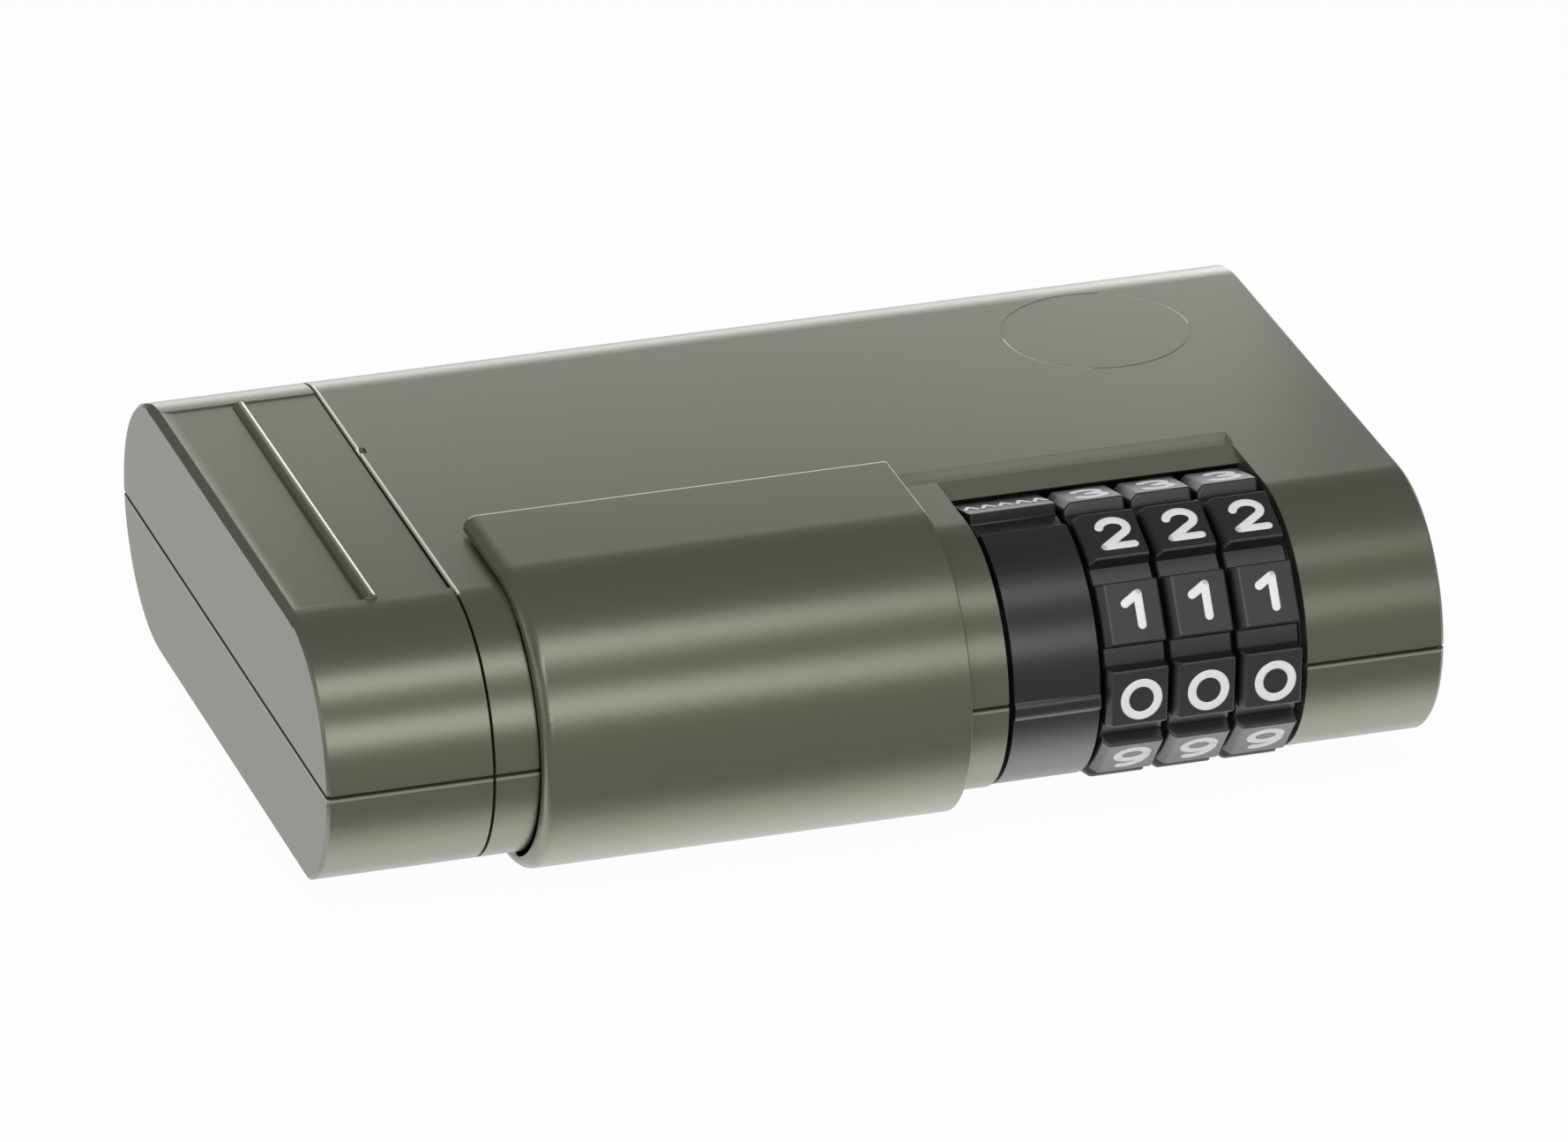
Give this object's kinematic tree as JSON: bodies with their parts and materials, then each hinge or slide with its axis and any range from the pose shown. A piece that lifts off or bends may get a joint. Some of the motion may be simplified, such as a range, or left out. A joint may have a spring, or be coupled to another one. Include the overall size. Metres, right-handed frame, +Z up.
{
  "type": "magnetic key holder box",
  "caption": "Flat magnetic key box with a number-wheel lock in a window, a C-shaped sliding wheel cover, a reset drum and a key drawer that pulls out of its left end.",
  "frame": {"origin": "under the middle of the box, on the plane of the magnets' lower faces", "axes": "+X from the drawer's end to the far end along the case, +Y from the round front edge with the wheels to the back edge, +Z up, away from the surface that the magnets stick to"},
  "size_m": [0.1172, 0.081, 0.0329],
  "materials": {
    "case_plastic": "satin",
    "dial_black": "satin",
    "digit_white": "satin",
    "hub_plastic": "satin",
    "chassis_zinc": "satin",
    "lock_steel": "satin",
    "screw_steel": "satin",
    "keeper_steel": "satin",
    "magnet_ferrite": "matte",
    "foam": "matte"
  },
  "bodies": {
    "case": {"upper_shell": "case_plastic", "lower_shell": "case_plastic", "lock_chassis": "chassis_zinc", "lock_tube": "lock_steel", "tube_rings": "lock_steel", "detent_spring": "lock_steel", "chassis_screws": "screw_steel", "case_screws": "screw_steel", "magnet_left": "magnet_ferrite", "magnet_right": "magnet_ferrite", "magnet_keeper": "keeper_steel"},
    "drawer": {"drawer_tray": "case_plastic", "drawer_cap": "case_plastic", "drawer_screws": "screw_steel", "lock_pin": "lock_steel", "key_liner": "foam"},
    "cover": {"dial_cover": "case_plastic"},
    "wheel_1": {"dial_1": "dial_black", "code_hub_1": "hub_plastic"},
    "wheel_2": {"dial_2": "dial_black", "code_hub_2": "hub_plastic"},
    "wheel_3": {"dial_3": "dial_black", "code_hub_3": "hub_plastic"},
    "reset": {"reset_drum": "dial_black"}
  },
  "joints": [
    {"name": "drawer_slide", "type": "slide", "parent": "case", "child": "drawer", "axis": [-1, 0, 0], "range_m": [0, 0.07]},
    {"name": "cover_slide", "type": "slide", "parent": "case", "child": "cover", "axis": [1, 0, 0], "range_m": [0, 0.036]},
    {"name": "dial_1_turn", "type": "hinge", "parent": "case", "child": "wheel_1", "pos_m": [0.0259, -0.0245, 0.0169], "axis": [1, 0, 0], "continuous": true},
    {"name": "dial_2_turn", "type": "hinge", "parent": "case", "child": "wheel_2", "pos_m": [0.033, -0.0245, 0.0169], "axis": [1, 0, 0], "continuous": true},
    {"name": "dial_3_turn", "type": "hinge", "parent": "case", "child": "wheel_3", "pos_m": [0.0401, -0.0245, 0.0169], "axis": [1, 0, 0], "continuous": true},
    {"name": "reset_turn", "type": "hinge", "parent": "case", "child": "reset", "pos_m": [0.0175, -0.0245, 0.0169], "axis": [1, 0, 0], "range_deg": [0, 36]}
  ]
}
